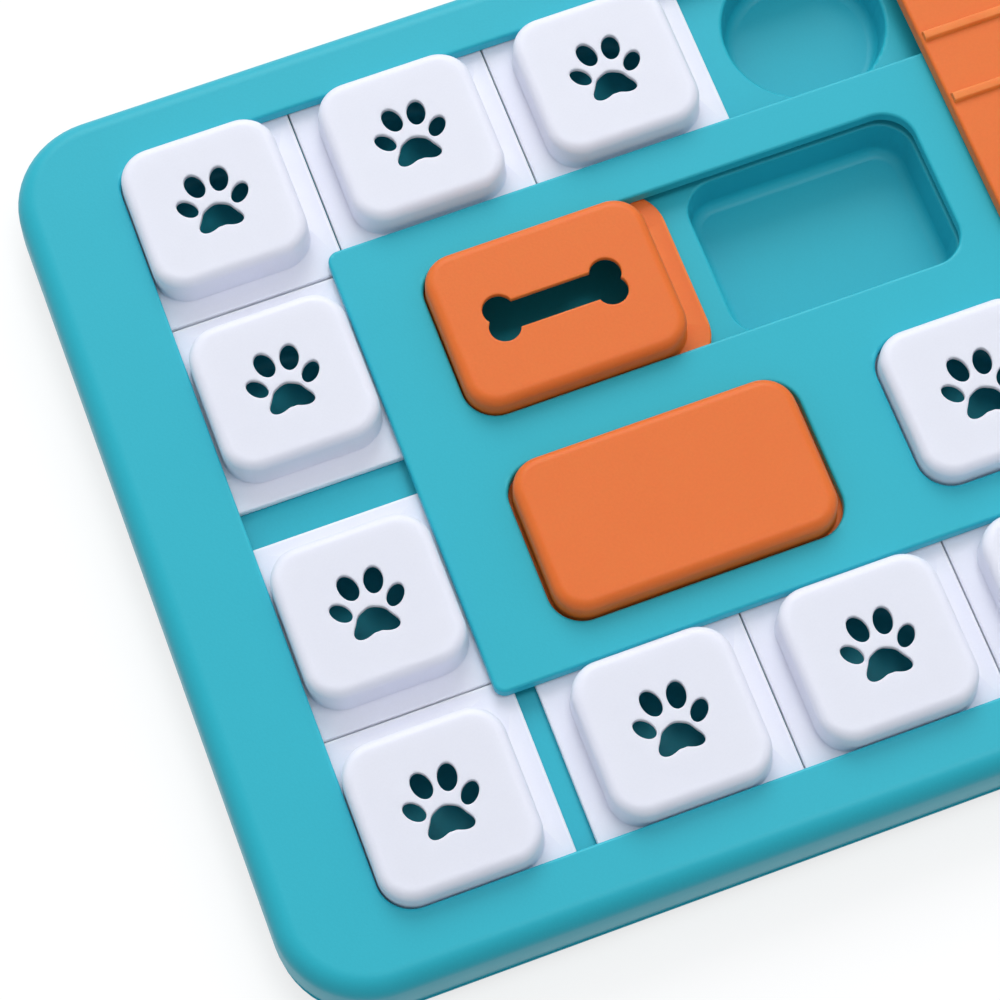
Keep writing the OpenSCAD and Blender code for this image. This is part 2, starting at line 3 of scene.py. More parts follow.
import bmesh
import bpy
from mathutils import Euler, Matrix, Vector


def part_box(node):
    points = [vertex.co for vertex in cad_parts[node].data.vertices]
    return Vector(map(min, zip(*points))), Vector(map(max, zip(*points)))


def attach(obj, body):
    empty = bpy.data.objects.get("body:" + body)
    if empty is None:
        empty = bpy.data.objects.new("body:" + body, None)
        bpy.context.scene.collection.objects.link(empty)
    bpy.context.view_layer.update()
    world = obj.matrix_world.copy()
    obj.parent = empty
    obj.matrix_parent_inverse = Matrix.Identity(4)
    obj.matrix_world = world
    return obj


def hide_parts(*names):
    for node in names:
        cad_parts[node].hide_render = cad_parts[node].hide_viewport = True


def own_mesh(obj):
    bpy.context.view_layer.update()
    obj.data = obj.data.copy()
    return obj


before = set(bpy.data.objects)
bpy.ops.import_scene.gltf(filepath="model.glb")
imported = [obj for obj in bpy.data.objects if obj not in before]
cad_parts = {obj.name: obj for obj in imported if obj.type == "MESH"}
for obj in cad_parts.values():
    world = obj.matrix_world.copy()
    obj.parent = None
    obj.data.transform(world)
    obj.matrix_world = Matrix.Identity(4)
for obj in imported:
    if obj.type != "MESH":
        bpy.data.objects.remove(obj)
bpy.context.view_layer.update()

# Shapes are drawn in millimetres, and each finished mesh is brought to metres once.
millimetre = 0.001
arcSteps = 14          # points along each quarter turn of an outline
ringSteps = 48         # points round a circle
smallestRadius = 0.05  # an outline that shrinks keeps at least this corner radius
flatMargin = 0.35      # narrow flat strip beside a rounding, which keeps the flats evenly lit
weldGap = 0.0005       # corners nearer than this become one
barrelSides = 40
barrelRound = 0.3      # rounding of the ends of a hinge barrel
blockRound = 0.2       # rounding of the blocks that carry a hinge barrel


def roundedOutline(length, width, radius, centre):
    # the same number of points for any size, so that one outline can be pulled to the next
    points = []
    for quarter, (sideX, sideY) in enumerate(((1, 1), (-1, 1), (-1, -1), (1, -1))):
        for step in range(arcSteps + 1):
            angle = math.radians(90 * (quarter + step / arcSteps))
            points.append((centre[0] + sideX * (length / 2 - radius) + radius * math.cos(angle),
                           centre[1] + sideY * (width / 2 - radius) + radius * math.sin(angle)))
    return points


def roundedBox(length, width, radius, centre=(0, 0)):
    # gives a function that returns this outline grown outwards by any amount
    def grown(by):
        corner = max(radius + by, smallestRadius)
        return roundedOutline(length + 2 * by, width + 2 * by, corner, centre)
    return grown


def roundRing(centre):
    # a circle round a point, with the amount it is grown by as its radius
    def grown(by):
        return [(centre[0] + by * math.cos(2 * math.pi * i / ringSteps),
                 centre[1] + by * math.sin(2 * math.pi * i / ringSteps)) for i in range(ringSteps)]
    return grown


def freeOutline(points, centre):
    # any closed outline, counter-clockwise, grown along its own normals
    def grown(by):
        result = []
        for i, (x, y) in enumerate(points):
            before, after = points[i - 1], points[(i + 1) % len(points)]
            along = Vector((after[0] - before[0], after[1] - before[1])).normalized()
            result.append((centre[0] + x + by * along.y, centre[1] + y - by * along.x))
        return result
    return grown


def arcProfile(centreOut, centreUp, radius, fromDeg, toDeg, steps):
    # a rounding seen in section, as steps of (outwards, up)
    angles = [math.radians(fromDeg + (toDeg - fromDeg) * i / steps) for i in range(steps + 1)]
    return [(centreOut + radius * math.cos(a), centreUp + radius * math.sin(a)) for a in angles]


def startRing(bm, points, height):
    ring = [bm.verts.new((x, y, height)) for x, y in points]
    for a, b in zip(ring, ring[1:] + ring[:1]):
        bm.edges.new((a, b))
    return ring


def ringEdges(bm, ring):
    return [bm.edges.get((a, b)) for a, b in zip(ring, ring[1:] + ring[:1])]


def pullRing(bm, ring, points, height):
    # extrudes a closed ring of edges and moves the new ring to its own place
    made = bmesh.ops.extrude_edge_only(bm, edges=ringEdges(bm, ring))["geom"]
    fresh = {item for item in made if isinstance(item, bmesh.types.BMVert)}
    pulled = []
    for corner, (x, y) in zip(ring, points):
        ends = (edge.other_vert(corner) for edge in corner.link_edges)
        twin = next(end for end in ends if end in fresh)
        twin.co = (x, y, height)
        pulled.append(twin)
    return pulled


def pullProfile(bm, ring, grown, profile):
    for outwards, height in profile:
        ring = pullRing(bm, ring, grown(outwards), height)
    return ring


def fillRings(bm, *rings):
    # a flat face between an outer ring and any number of holes
    edges = [edge for ring in rings for edge in ringEdges(bm, ring)]
    bmesh.ops.triangle_fill(bm, use_beauty=True, use_dissolve=False, edges=edges)


def joinRings(bm, ringA, ringB):
    bmesh.ops.bridge_loops(bm, edges=ringEdges(bm, ringA) + ringEdges(bm, ringB))


def addBarrel(bm, start, end, radius):
    # a closed hinge barrel from start to end, with rounded rims
    axis = Vector(end) - Vector(start)
    turn = Vector((0, 0, 1)).rotation_difference(axis).to_matrix().to_4x4()
    turn.translation = (Vector(start) + Vector(end)) / 2
    made = bmesh.ops.create_cone(bm, cap_ends=True, cap_tris=False, segments=barrelSides,
                                 radius1=radius, radius2=radius, depth=axis.length,
                                 matrix=turn)["verts"]
    rims = {e for v in made for e in v.link_edges if any(len(f.verts) > 4 for f in e.link_faces)}
    bmesh.ops.bevel(bm, geom=list(rims), offset=barrelRound, segments=3, profile=0.5,
                    affect="EDGES", material=-1)


def addBlock(bm, low, high):
    # a box between two corners, with rounded edges
    made = bmesh.ops.create_cube(bm, size=1)["verts"]
    bmesh.ops.scale(bm, vec=Vector(high) - Vector(low), verts=made)
    bmesh.ops.translate(bm, vec=(Vector(high) + Vector(low)) / 2, verts=made)
    edges = list({e for v in made for e in v.link_edges})
    bmesh.ops.bevel(bm, geom=edges, offset=blockRound, segments=2, profile=0.5,
                    affect="EDGES", material=-1)


def finishPiece(bm, name, body, material, replaced, creaseDeg=32):
    # closes the mesh, brings it to metres and puts the piece on its body; edges sharper than
    # creaseDeg stay sharp
    bmesh.ops.remove_doubles(bm, verts=bm.verts, dist=weldGap)
    bmesh.ops.recalc_face_normals(bm, faces=bm.faces)
    bmesh.ops.scale(bm, vec=(millimetre,) * 3, verts=bm.verts)
    for face in bm.faces:
        face.smooth = True
    for edge in bm.edges:
        edge.smooth = edge.calc_face_angle(0) < math.radians(creaseDeg)
    mesh = bpy.data.meshes.new(name)
    bm.to_mesh(mesh)
    bm.free()
    mesh.materials.append(material)
    piece = bpy.data.objects.new(name, mesh)
    bpy.context.scene.collection.objects.link(piece)
    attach(piece, body)
    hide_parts(replaced)
    return piece


def nodeBox(node):
    # a node's lowest and highest corners in millimetres
    low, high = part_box(node)
    return Vector(low) / millimetre, Vector(high) / millimetre


def middleOf(low, high):
    return ((low.x + high.x) / 2, (low.y + high.y) / 2)


def groupOf(name, inputs, outputs):
    group = bpy.data.node_groups.new(name, "ShaderNodeTree")
    for label, default in inputs:
        socket = group.interface.new_socket(label, in_out="INPUT", socket_type="NodeSocketFloat")
        socket.default_value = default
    for label in outputs:
        group.interface.new_socket(label, in_out="OUTPUT", socket_type="NodeSocketFloat")
    return group, group.nodes.new("NodeGroupInput"), group.nodes.new("NodeGroupOutput")


def addNoise(group, coords, detail):
    # a noise on the piece's own coordinates
    noise = group.nodes.new("ShaderNodeTexNoise")
    noise.inputs["Detail"].default_value = detail
    group.links.new(coords.outputs["Object"], noise.inputs["Vector"])
    return noise


def addMath(nodes, operation):
    node = nodes.new("ShaderNodeMath")
    node.operation = operation
    return node


def makeMouldGrain():
    # the fine spark-eroded grain of a moulded face, with slow dents over it
    inputs = (("Grain Size", 900.0), ("Grain Depth", 0.6), ("Dent Depth", 0.4))
    group, given, result = groupOf("mouldGrain", inputs, ("Height", "Speckle"))
    nodes, link = group.nodes, group.links.new
    coords = nodes.new("ShaderNodeTexCoord")
    fine = addNoise(group, coords, 2.0)
    slow = addNoise(group, coords, 1.0)
    slow.inputs["Scale"].default_value = 26.0  # dents about 4 cm apart
    link(given.outputs["Grain Size"], fine.inputs["Scale"])
    fineDepth = addMath(nodes, "MULTIPLY")
    link(fine.outputs["Fac"], fineDepth.inputs[0])
    link(given.outputs["Grain Depth"], fineDepth.inputs[1])
    slowDepth = addMath(nodes, "MULTIPLY_ADD")
    link(slow.outputs["Fac"], slowDepth.inputs[0])
    link(given.outputs["Dent Depth"], slowDepth.inputs[1])
    link(fineDepth.outputs[0], slowDepth.inputs[2])
    link(slowDepth.outputs[0], result.inputs["Height"])
    link(fine.outputs["Fac"], result.inputs["Speckle"])
    return group


def makeToneDrift():
    # slow and middling changes of tone from the flow of the plastic, 0 to 1
    inputs = (("Patch Size", 9.0), ("Streak Size", 60.0))
    group, given, result = groupOf("toneDrift", inputs, ("Drift",))
    nodes, link = group.nodes, group.links.new
    coords = nodes.new("ShaderNodeTexCoord")
    patch = addNoise(group, coords, 3.0)
    streak = addNoise(group, coords, 2.0)
    link(given.outputs["Patch Size"], patch.inputs["Scale"])
    link(given.outputs["Streak Size"], streak.inputs["Scale"])
    both = nodes.new("ShaderNodeMix")
    both.data_type = "FLOAT"
    both.inputs["Factor"].default_value = 0.35  # share of the streaks
    link(patch.outputs["Fac"], both.inputs["A"])
    link(streak.outputs["Fac"], both.inputs["B"])
    link(both.outputs["Result"], result.inputs["Drift"])
    return group


def makeEdgeWear():
    # a mask of the convex edges, broken up so that the rubbing is uneven
    inputs = (("Start", 0.52), ("End", 0.6), ("Break Up", 140.0))
    group, given, result = groupOf("edgeWear", inputs, ("Mask",))
    nodes, link = group.nodes, group.links.new
    geometry = nodes.new("ShaderNodeNewGeometry")
    noise = addNoise(group, nodes.new("ShaderNodeTexCoord"), 3.0)
    link(given.outputs["Break Up"], noise.inputs["Scale"])
    edges = nodes.new("ShaderNodeMapRange")
    link(geometry.outputs["Pointiness"], edges.inputs["Value"])
    link(given.outputs["Start"], edges.inputs["From Min"])
    link(given.outputs["End"], edges.inputs["From Max"])
    broken = addMath(nodes, "MULTIPLY")
    broken.use_clamp = True
    link(edges.outputs["Result"], broken.inputs[0])
    link(noise.outputs["Fac"], broken.inputs[1])
    link(broken.outputs[0], result.inputs["Mask"])
    return group


def plasticMaterial(name, look, groups):
    # drifting tone, speckle, rubbed edges and a fine grain
    material = bpy.data.materials.new(name)
    material.use_nodes = True
    nodes, link = material.node_tree.nodes, material.node_tree.links.new
    shader = nodes["Principled BSDF"]
    shader.inputs["Specular IOR Level"].default_value = look["specular"]
    shader.inputs["Subsurface Weight"].default_value = look.get("glow", 0.0)
    shader.inputs["Subsurface Radius"].default_value = look.get("glowReach", (1.0, 1.0, 1.0))
    shader.inputs["Subsurface Scale"].default_value = look.get("glowScale", 0.002)
    shader.inputs["Metallic"].default_value = look.get("metal", 0.0)
    grain, drift, wear = (nodes.new("ShaderNodeGroup") for _ in range(3))
    grain.node_tree = groups["grain"]
    drift.node_tree = groups["drift"]
    wear.node_tree = groups["wear"]
    grain.inputs["Grain Size"].default_value = look["grainSize"]
    grain.inputs["Grain Depth"].default_value = look["grainDepth"]
    grain.inputs["Dent Depth"].default_value = look["dentDepth"]
    tone = nodes.new("ShaderNodeMix")
    tone.data_type = "RGBA"
    tone.inputs["A"].default_value = (*look["deep"], 1)
    tone.inputs["B"].default_value = (*look["light"], 1)
    link(drift.outputs["Drift"], tone.inputs["Factor"])
    speckle = nodes.new("ShaderNodeMapRange")
    speckle.inputs["To Min"].default_value = 1 - look["speckle"]
    speckle.inputs["To Max"].default_value = 1 + look["speckle"]
    link(grain.outputs["Speckle"], speckle.inputs["Value"])
    spotted = nodes.new("ShaderNodeHueSaturation")
    link(speckle.outputs["Result"], spotted.inputs["Value"])
    link(tone.outputs["Result"], spotted.inputs["Color"])
    rubbed = nodes.new("ShaderNodeMix")
    rubbed.data_type = "RGBA"
    rubbed.inputs["B"].default_value = (*look["rubbed"], 1)
    link(wear.outputs["Mask"], rubbed.inputs["Factor"])
    link(spotted.outputs["Color"], rubbed.inputs["A"])
    link(rubbed.outputs["Result"], shader.inputs["Base Color"])
    rough = nodes.new("ShaderNodeMapRange")
    rough.inputs["To Min"].default_value = look["rough"] - look["roughSpread"]
    rough.inputs["To Max"].default_value = look["rough"] + look["roughSpread"]
    link(drift.outputs["Drift"], rough.inputs["Value"])
    link(rough.outputs["Result"], shader.inputs["Roughness"])
    bump = nodes.new("ShaderNodeBump")
    bump.inputs["Strength"].default_value = look["bump"]
    bump.inputs["Distance"].default_value = 0.0001  # a tenth of a millimetre
    link(grain.outputs["Height"], bump.inputs["Height"])
    link(bump.outputs["Normal"], shader.inputs["Normal"])
    return material


# The tone drifts from deep to light, and worn edges turn rubbed. Glow is the light that goes in and
# comes out again.
plasticLooks = {
    # the red share of the teal is partly painted sheen: it is raised to stand in for the whitish
    # reflection on the lit tops, with the specular turned down
    "tealPlastic": dict(
        deep=(0.016, 0.407, 0.516), light=(0.022, 0.437, 0.552), rubbed=(0.05, 0.52, 0.63),
        rough=0.42, roughSpread=0.04, specular=0.26,
        grainSize=1500.0, grainDepth=0.5, dentDepth=0.5, speckle=0.035, bump=0.35),
    "whitePlastic": dict(
        deep=(0.775, 0.79, 0.92), light=(0.805, 0.82, 0.935), rubbed=(0.92, 0.93, 0.98),
        rough=0.46, roughSpread=0.04, specular=0.4, glow=0.5, glowScale=0.004,
        grainSize=1700.0, grainDepth=0.35, dentDepth=0.4, speckle=0.02, bump=0.25),
    "orangePlastic": dict(
        deep=(0.73, 0.148, 0.016), light=(0.775, 0.172, 0.027), rubbed=(0.86, 0.27, 0.06),
        rough=0.46, roughSpread=0.04, specular=0.32, glow=0.3, glowReach=(1.0, 0.25, 0.08),
        grainSize=1300.0, grainDepth=0.7, dentDepth=0.4, speckle=0.04, bump=0.4),
    "darkPlastic": dict(
        deep=(0.022, 0.024, 0.03), light=(0.036, 0.038, 0.045), rubbed=(0.08, 0.08, 0.09),
        rough=0.5, roughSpread=0.06, specular=0.5,
        grainSize=1400.0, grainDepth=0.6, dentDepth=0.3, speckle=0.05, bump=0.4),
    "bellowsVinyl": dict(
        deep=(0.56, 0.56, 0.54), light=(0.66, 0.66, 0.63), rubbed=(0.75, 0.75, 0.72),
        rough=0.55, roughSpread=0.06, specular=0.45, glow=0.2,
        grainSize=900.0, grainDepth=0.5, dentDepth=0.6, speckle=0.03, bump=0.3),
    "footRubber": dict(
        deep=(0.028, 0.028, 0.032), light=(0.05, 0.05, 0.055), rubbed=(0.10, 0.10, 0.10),
        rough=0.72, roughSpread=0.08, specular=0.35,
        grainSize=800.0, grainDepth=1.0, dentDepth=0.4, speckle=0.08, bump=0.6),
    "pinSteel": dict(
        deep=(0.50, 0.50, 0.51), light=(0.64, 0.64, 0.65), rubbed=(0.78, 0.78, 0.78),
        rough=0.3, roughSpread=0.08, specular=0.5, metal=1.0,
        grainSize=2200.0, grainDepth=0.3, dentDepth=0.2, speckle=0.04, bump=0.2),
    "screwSteel": dict(
        deep=(0.46, 0.46, 0.47), light=(0.60, 0.60, 0.61), rubbed=(0.74, 0.74, 0.74),
        rough=0.36, roughSpread=0.1, specular=0.5, metal=1.0,
        grainSize=1800.0, grainDepth=0.4, dentDepth=0.3, speckle=0.06, bump=0.25),
}


def makeMaterials():
    groups = {"grain": makeMouldGrain(), "drift": makeToneDrift(), "wear": makeEdgeWear()}
    made = {name: plasticMaterial(name, look, groups) for name, look in plasticLooks.items()}
    print("materials done")
    return made


tileShape = {
    "block": (42.0, 42.0),      # raised block, length and width
    "corner": 9.0,              # corner radius of the block
    "topRound": 2.8,            # rounding of the block's top edge
    "lean": 0.15,               # how far the walls lean in
    "wallDeg": 4,               # slope at which the rounding passes into the wall
    "hollowRound": 1.6,         # rounding under the top
    "plate": 2.2,               # thickness of the sliding plate
    "plateCorner": 4.0,
    "plateEdge": 0.45,          # rounding of the plate's upper edge
    "plateChamfer": 0.2,        # on its lower edge
    "wall": 2.0,                # thickness of the block's walls at the corners
    "sideExtra": 0.5,           # how much thicker they are along the sides
    "cap": 1.4,                 # thickness of its top
    "mouthChamfer": 0.3,        # round the opening of the hollow
    "footFillet": 0.35,         # where the block meets its plate
    "holeEdge": 0.3,            # rounding of the holes' upper edges
}
laneShape = dict(tileShape, corner=8.6, plateCorner=5.0)

pawShape = {
    "drop": 5.3,                # from the tile's middle to the pad's
    # the pad is a circle bent by even waves: how many go round, and how high
    "padWaves": ((0, 4.5), (1, 0.3), (2, -1.1), (3, 0.8), (4, -0.1), (5, -0.25), (6, 0.2)),
    "padSteps": 72,
    # of each pair of toes: outwards and up from the pad, lean in degrees, half length, half width
    "toes": ((3.3, 10.65, 13, 3.67, 2.47), (7.1, 5.05, 38, 3.2, 2.1)),
    "toeSteps": 36,
}


def padRadius(angle):
    return sum(size * math.cos(count * angle) for count, size in pawShape["padWaves"])


def toeOutline(side, toe):
    outX, upY, leanDeg, halfLength, halfWidth = toe
    lean = math.radians(-side * leanDeg)
    points = []
    for i in range(pawShape["toeSteps"]):
        angle = 2 * math.pi * i / pawShape["toeSteps"]
        x, y = halfWidth * math.cos(angle), halfLength * math.sin(angle)
        points.append((side * outX + x * math.cos(lean) - y * math.sin(lean),
                       upY + x * math.sin(lean) + y * math.cos(lean)))
    return points


def pawHoles(centre):
    # the pad and four toes, as outlines that can grow
    middle = (centre[0], centre[1] - pawShape["drop"])
    angles = [2 * math.pi * i / pawShape["padSteps"] for i in range(pawShape["padSteps"])]
    outlines = [[(-padRadius(a) * math.sin(a), padRadius(a) * math.cos(a)) for a in angles]]
    outlines += [toeOutline(side, toe) for side in (-1, 1) for toe in pawShape["toes"]]
    return [freeOutline(points, middle) for points in outlines]


def makeSlider(node, shape, holes, material):
    # a hollow pillow block on a thin plate, open underneath
    low, high = nodeBox(node)
    centre = middleOf(low, high)
    bottom, top = low.z, high.z
    block = roundedBox(*shape["block"], shape["corner"], centre)
    plate = roundedBox(high.x - low.x, high.y - low.y, shape["plateCorner"], centre)
    hollowSize = [side - 2 * (shape["wall"] + shape["sideExtra"]) for side in shape["block"]]
    hollow = roundedBox(*hollowSize, shape["corner"] - shape["wall"], centre)
    lean, rounding, ceiling = shape["lean"], shape["topRound"], top - shape["cap"]
    plateTop, fillet = bottom + shape["plate"], shape["footFillet"]
    bm = bmesh.new()

    crown = startRing(bm, block(-lean - rounding - 2 * flatMargin), top)
    ring = pullProfile(bm, crown, block, [(-lean - rounding - flatMargin, top)])
    ring = pullProfile(bm, ring, block, arcProfile(-lean - rounding, top - rounding, rounding,
                                                   90, shape["wallDeg"], steps=9))
    ring = pullProfile(bm, ring, block,
                       arcProfile(fillet, plateTop + fillet, fillet, 180, 270, steps=3))
    edge, chamfer, mouth = shape["plateEdge"], shape["plateChamfer"], shape["mouthChamfer"]
    ring = pullProfile(bm, ring, plate, [(-edge - flatMargin, plateTop)])
    ring = pullProfile(bm, ring, plate, arcProfile(-edge, plateTop - edge, edge, 90, 0, steps=3))
    ring = pullProfile(bm, ring, plate, [(0, bottom + chamfer), (-chamfer, bottom)])
    ring = pullProfile(bm, ring, hollow, [(mouth, bottom), (0, bottom + mouth)])
    under = shape["hollowRound"]
    ring = pullProfile(bm, ring, hollow,
                       arcProfile(-lean - under, ceiling - under, under, 0, 90, steps=4))
    ring = pullProfile(bm, ring, hollow, [(-lean - under - flatMargin, ceiling)])

    upper, lower = [], []
    edge = shape["holeEdge"]
    for hole in holes(centre):
        start = startRing(bm, hole(edge + flatMargin), top)
        upper.append(start)
        inner = pullProfile(bm, start, hole, arcProfile(edge, top - edge, edge, 90, 180, steps=3))
        lower.append(pullProfile(bm, inner, hole, [(0, ceiling)]))
    fillRings(bm, crown, *upper)
    fillRings(bm, ring, *lower)
    finishPiece(bm, node + "_shell", node, material, node)


def makeTiles(materials):
    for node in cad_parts:
        if node.startswith(("tile_", "lane_slider_")):
            shape = tileShape if node.startswith("tile_") else laneShape
            makeSlider(node, shape, pawHoles, materials["whitePlastic"])
    print("tiles and lane sliders done")


boneShape = dict(tileShape, block=(59.8, 44.9), corner=8.6, plateCorner=12.0, holeEdge=0.35)
boneHoleShape = {
    "length": 37.3,
    "lobe": 4.15,               # radius of each of the four round lobes
    "spread": 2.55,             # from the shaft's middle line to a lobe's middle
    "shaft": 8.0,               # width of the shaft
    "lobeSteps": 18,
    "weld": 0.01,               # corners of the outline nearer than this become one
}


def boneHole(centre):
    # a bone: two pairs of round lobes on a straight shaft
    shape = boneHoleShape
    lobe, spread, steps = shape["lobe"], shape["spread"], shape["lobeSteps"]
    lobeX = shape["length"] / 2 - lobe
    meetDeg = math.degrees(math.asin(min(1, (shape["shaft"] / 2 - spread) / lobe)))
    notchDeg = math.degrees(math.asin(spread / lobe))
    points = []
    for sideY, fromDeg, toDeg in ((1, 180 - meetDeg, -notchDeg), (-1, notchDeg, meetDeg - 180)):
        for i in range(steps + 1):
            angle = math.radians(fromDeg + (toDeg - fromDeg) * i / steps)
            points.append((lobeX + lobe * math.cos(angle), sideY * spread + lobe * math.sin(angle)))
    points += [(-x, -y) for x, y in points]
    points.reverse()
    apart = [p for i, p in enumerate(points) if math.dist(p, points[i - 1]) > shape["weld"]]
    return [freeOutline(apart, centre)]


def makeBoneSlider(materials):
    makeSlider("bone_slider", boneShape, boneHole, materials["orangePlastic"])
    print("bone slider done")


buttonShape = dict(tileShape, block=(75.4, 43.4), corner=8.6, cap=2.0, plate=1.6, plateCorner=5.6)


def noHoles(centre):
    return []


def makeButton(materials):
    makeSlider("squeak_button", buttonShape, noHoles, materials["orangePlastic"])
    print("button done")


rimShape = {
    "endWidth": 27.5,       # top face at the short ends
    "sideWidth": 17.3,      # top face along the long sides
    "corner": 24.0,         # corner radius of the board
    "channelCorner": 9.0,   # corner radius of the inner edge
    "shoulder": 5.4,        # soft rounding of the outer edge
    "lean": 0.3,            # how far the outer wall leans in
    "wallDeg": 2,           # slope at which the shoulder passes into the wall
    "seam": 8.0,            # height at which the wall ends, over the tray
    "seamRound": 0.4,
    "lip": 3.3,             # thickness of the lip over the track
    "skirt": 2.4,           # wall thickness
    "skirtLean": 0.25,      # how much thicker the wall is higher up
    "underRound": 3.0,      # fillet between the wall and the underside of the lip
    "lipStrip": 3.0,        # flat strip beside the inner edge, underneath
    "edge": 0.8,            # rounding of the inner edge
}


def makeRim(materials):
    low, high = nodeBox("top_rim")
    length, width, top = high.x - low.x, high.y - low.y, high.z
    shape = rimShape
    outer = roundedBox(length, width, shape["corner"])
    inner = roundedBox(length - 2 * shape["endWidth"], width - 2 * shape["sideWidth"],
                       shape["channelCorner"])
    lipUnder, edge, shoulder = top - shape["lip"], shape["edge"], shape["shoulder"]
    crest, seam, small = -shape["lean"] - shoulder, shape["seam"], shape["seamRound"]
    wall, thicker, under = -shape["skirt"], shape["skirtLean"], shape["underRound"]
    bm = bmesh.new()
    first = startRing(bm, inner(0), lipUnder)
    ring = pullProfile(bm, first, inner, arcProfile(edge, top - edge, edge, 180, 90, steps=5))
    ring = pullProfile(bm, ring, inner, [(edge + flatMargin, top), (edge + 2 * flatMargin, top)])
    ring = pullProfile(bm, ring, outer, [(crest - 2 * flatMargin, top), (crest - flatMargin, top)])
    ring = pullProfile(bm, ring, outer, arcProfile(crest, top - shoulder, shoulder,
                                                   90, shape["wallDeg"], steps=12))
    ring = pullProfile(bm, ring, outer, arcProfile(-small, seam + small, small, 0, -90, steps=3))
    ring = pullProfile(bm, ring, outer, [(wall, seam), (wall - thicker, lipUnder - under)])
    ring = pullProfile(bm, ring, outer, arcProfile(wall - (thicker + under), lipUnder - under,
                                                   under, 0, 90, steps=4))
    ring = pullProfile(bm, ring, inner, [(shape["lipStrip"], lipUnder)])
    joinRings(bm, ring, first)
    finishPiece(bm, "rim_shell", "board", materials["tealPlastic"], "top_rim")
    print("rim done")


islandShape = {
    "corner": 3.0,
    "edge": 0.8,            # rounding of the upper edges
    "slotCorner": 9.0,
    "lip": 3.3,
    "slots": {              # middle x, middle y, length, width
        "bone": (-54.4, 28.4, 135.4, 45.6),
        "button": (-82.3, -31.25, 78.0, 44.6),
        "lane": (53.0, -31.0, 151.0, 43.1),
        "treat": (79.1, 32.05, 94.0, 40.0),
    },
    "earLength": 8.0,
    "hinge": (4.45, 24.8),  # y and height of the hinge axis
    "ears": (36.1, 114.3),  # where each hinge ear starts along x
    "knuckle": 2.5,         # radius of the hinge barrel
    "postInset": 0.05,      # how much shorter the block under an ear is, at each end
    "postSink": 0.5,        # how deep it stands in the panel
    "postDrop": 0.6,        # from the hinge axis down to its top
}


def makeIsland(materials):
    shape = islandShape
    low, high = nodeBox("island_panel")
    top = nodeBox("top_rim")[1].z
    under, edge = top - shape["lip"], shape["edge"]
    outline = roundedBox(high.x - low.x, high.y - low.y, shape["corner"])
    bm = bmesh.new()
    crown = startRing(bm, outline(-edge - 2 * flatMargin), top)
    ring = pullProfile(bm, crown, outline, [(-edge - flatMargin, top)])
    ring = pullProfile(bm, ring, outline, arcProfile(-edge, top - edge, edge, 90, 0, steps=5))
    ring = pullProfile(bm, ring, outline, [(0, under)])
    upper, lower = [], []
    for x, y, length, width in shape["slots"].values():
        slot = roundedBox(length, width, shape["slotCorner"], (x, y))
        start = startRing(bm, slot(edge + 2 * flatMargin), top)
        upper.append(start)
        inner = pullProfile(bm, start, slot, [(edge + flatMargin, top)])
        inner = pullProfile(bm, inner, slot, arcProfile(edge, top - edge, edge, 90, 180, steps=5))
        lower.append(pullProfile(bm, inner, slot, [(0, under)]))
    fillRings(bm, crown, *upper)
    fillRings(bm, ring, *lower)
    y, height = shape["hinge"]
    radius, inset = shape["knuckle"], shape["postInset"]
    for start in shape["ears"]:
        end = start + shape["earLength"]
        addBarrel(bm, (start, y, height), (end, y, height), radius)
        addBlock(bm, (start + inset, y - radius, top - shape["postSink"]),
                 (end - inset, y + radius, height - shape["postDrop"]))
    finishPiece(bm, "island_shell", "board", materials["tealPlastic"],
                "island_panel")
    print("island done")


lidShape = {
    "thickness": 4.2,
    "corner": 4.0,
    "edge": 0.9,            # rounding of the upper edge
    "lean": 0.15,           # how far the sides lean in
    "wallDeg": 3,           # slope at which the rounding passes into the side
    "wall": 2.2,
    "hollowCorner": 2.0,
    "mouthChamfer": 0.3,    # on the lower edge
    "ribs": 4,
    "ribPitch": 19.4,
    # half of a rib's section: across and up
    "rib": ((1.6, -0.5), (1.25, 0.78), (1.2, 0.93), (1.09, 1.07), (0.93, 1.17), (0.72, 1.2)),
    "ribInset": 0.95,       # from the lid's edge to the ends of the ribs
    "ribSlope": 0.25,       # how far the ends lean in for each millimetre up
    "firstRib": 11.2,       # from the far edge to the first rib
    "hingeGap": 3.6,        # from the hinge axis to the lid's near edge
    "knuckle": 2.5,         # radius of the hinge barrel
    "barrelInset": (20.5, 20.3),
    "tabInset": 0.1,        # how much shorter the web beside the barrel is, at each end
    "tabReach": 1.0,        # how far the web goes into the lid
    "tabDown": 1.2,         # from the hinge axis down to the web's lower face
    "tabUp": 1.0,           # and up to its upper face
}


def addRib(bm, startX, endX, middle, top, shape):
    # a bar with eased edges and sloping ends, drawn out from its end section
    half, slope = shape["rib"], shape["ribSlope"]
    outline = list(half) + [(-across, up) for across, up in reversed(half)]
    first = [bm.verts.new((startX + slope * max(up, 0), middle + across, top + up))
             for across, up in outline]
    face = bm.faces.new(first)
    made = bmesh.ops.extrude_face_region(bm, geom=[face])["geom"]
    for corner in (item for item in made if isinstance(item, bmesh.types.BMVert)):
        corner.co.x = endX - (corner.co.x - startX)


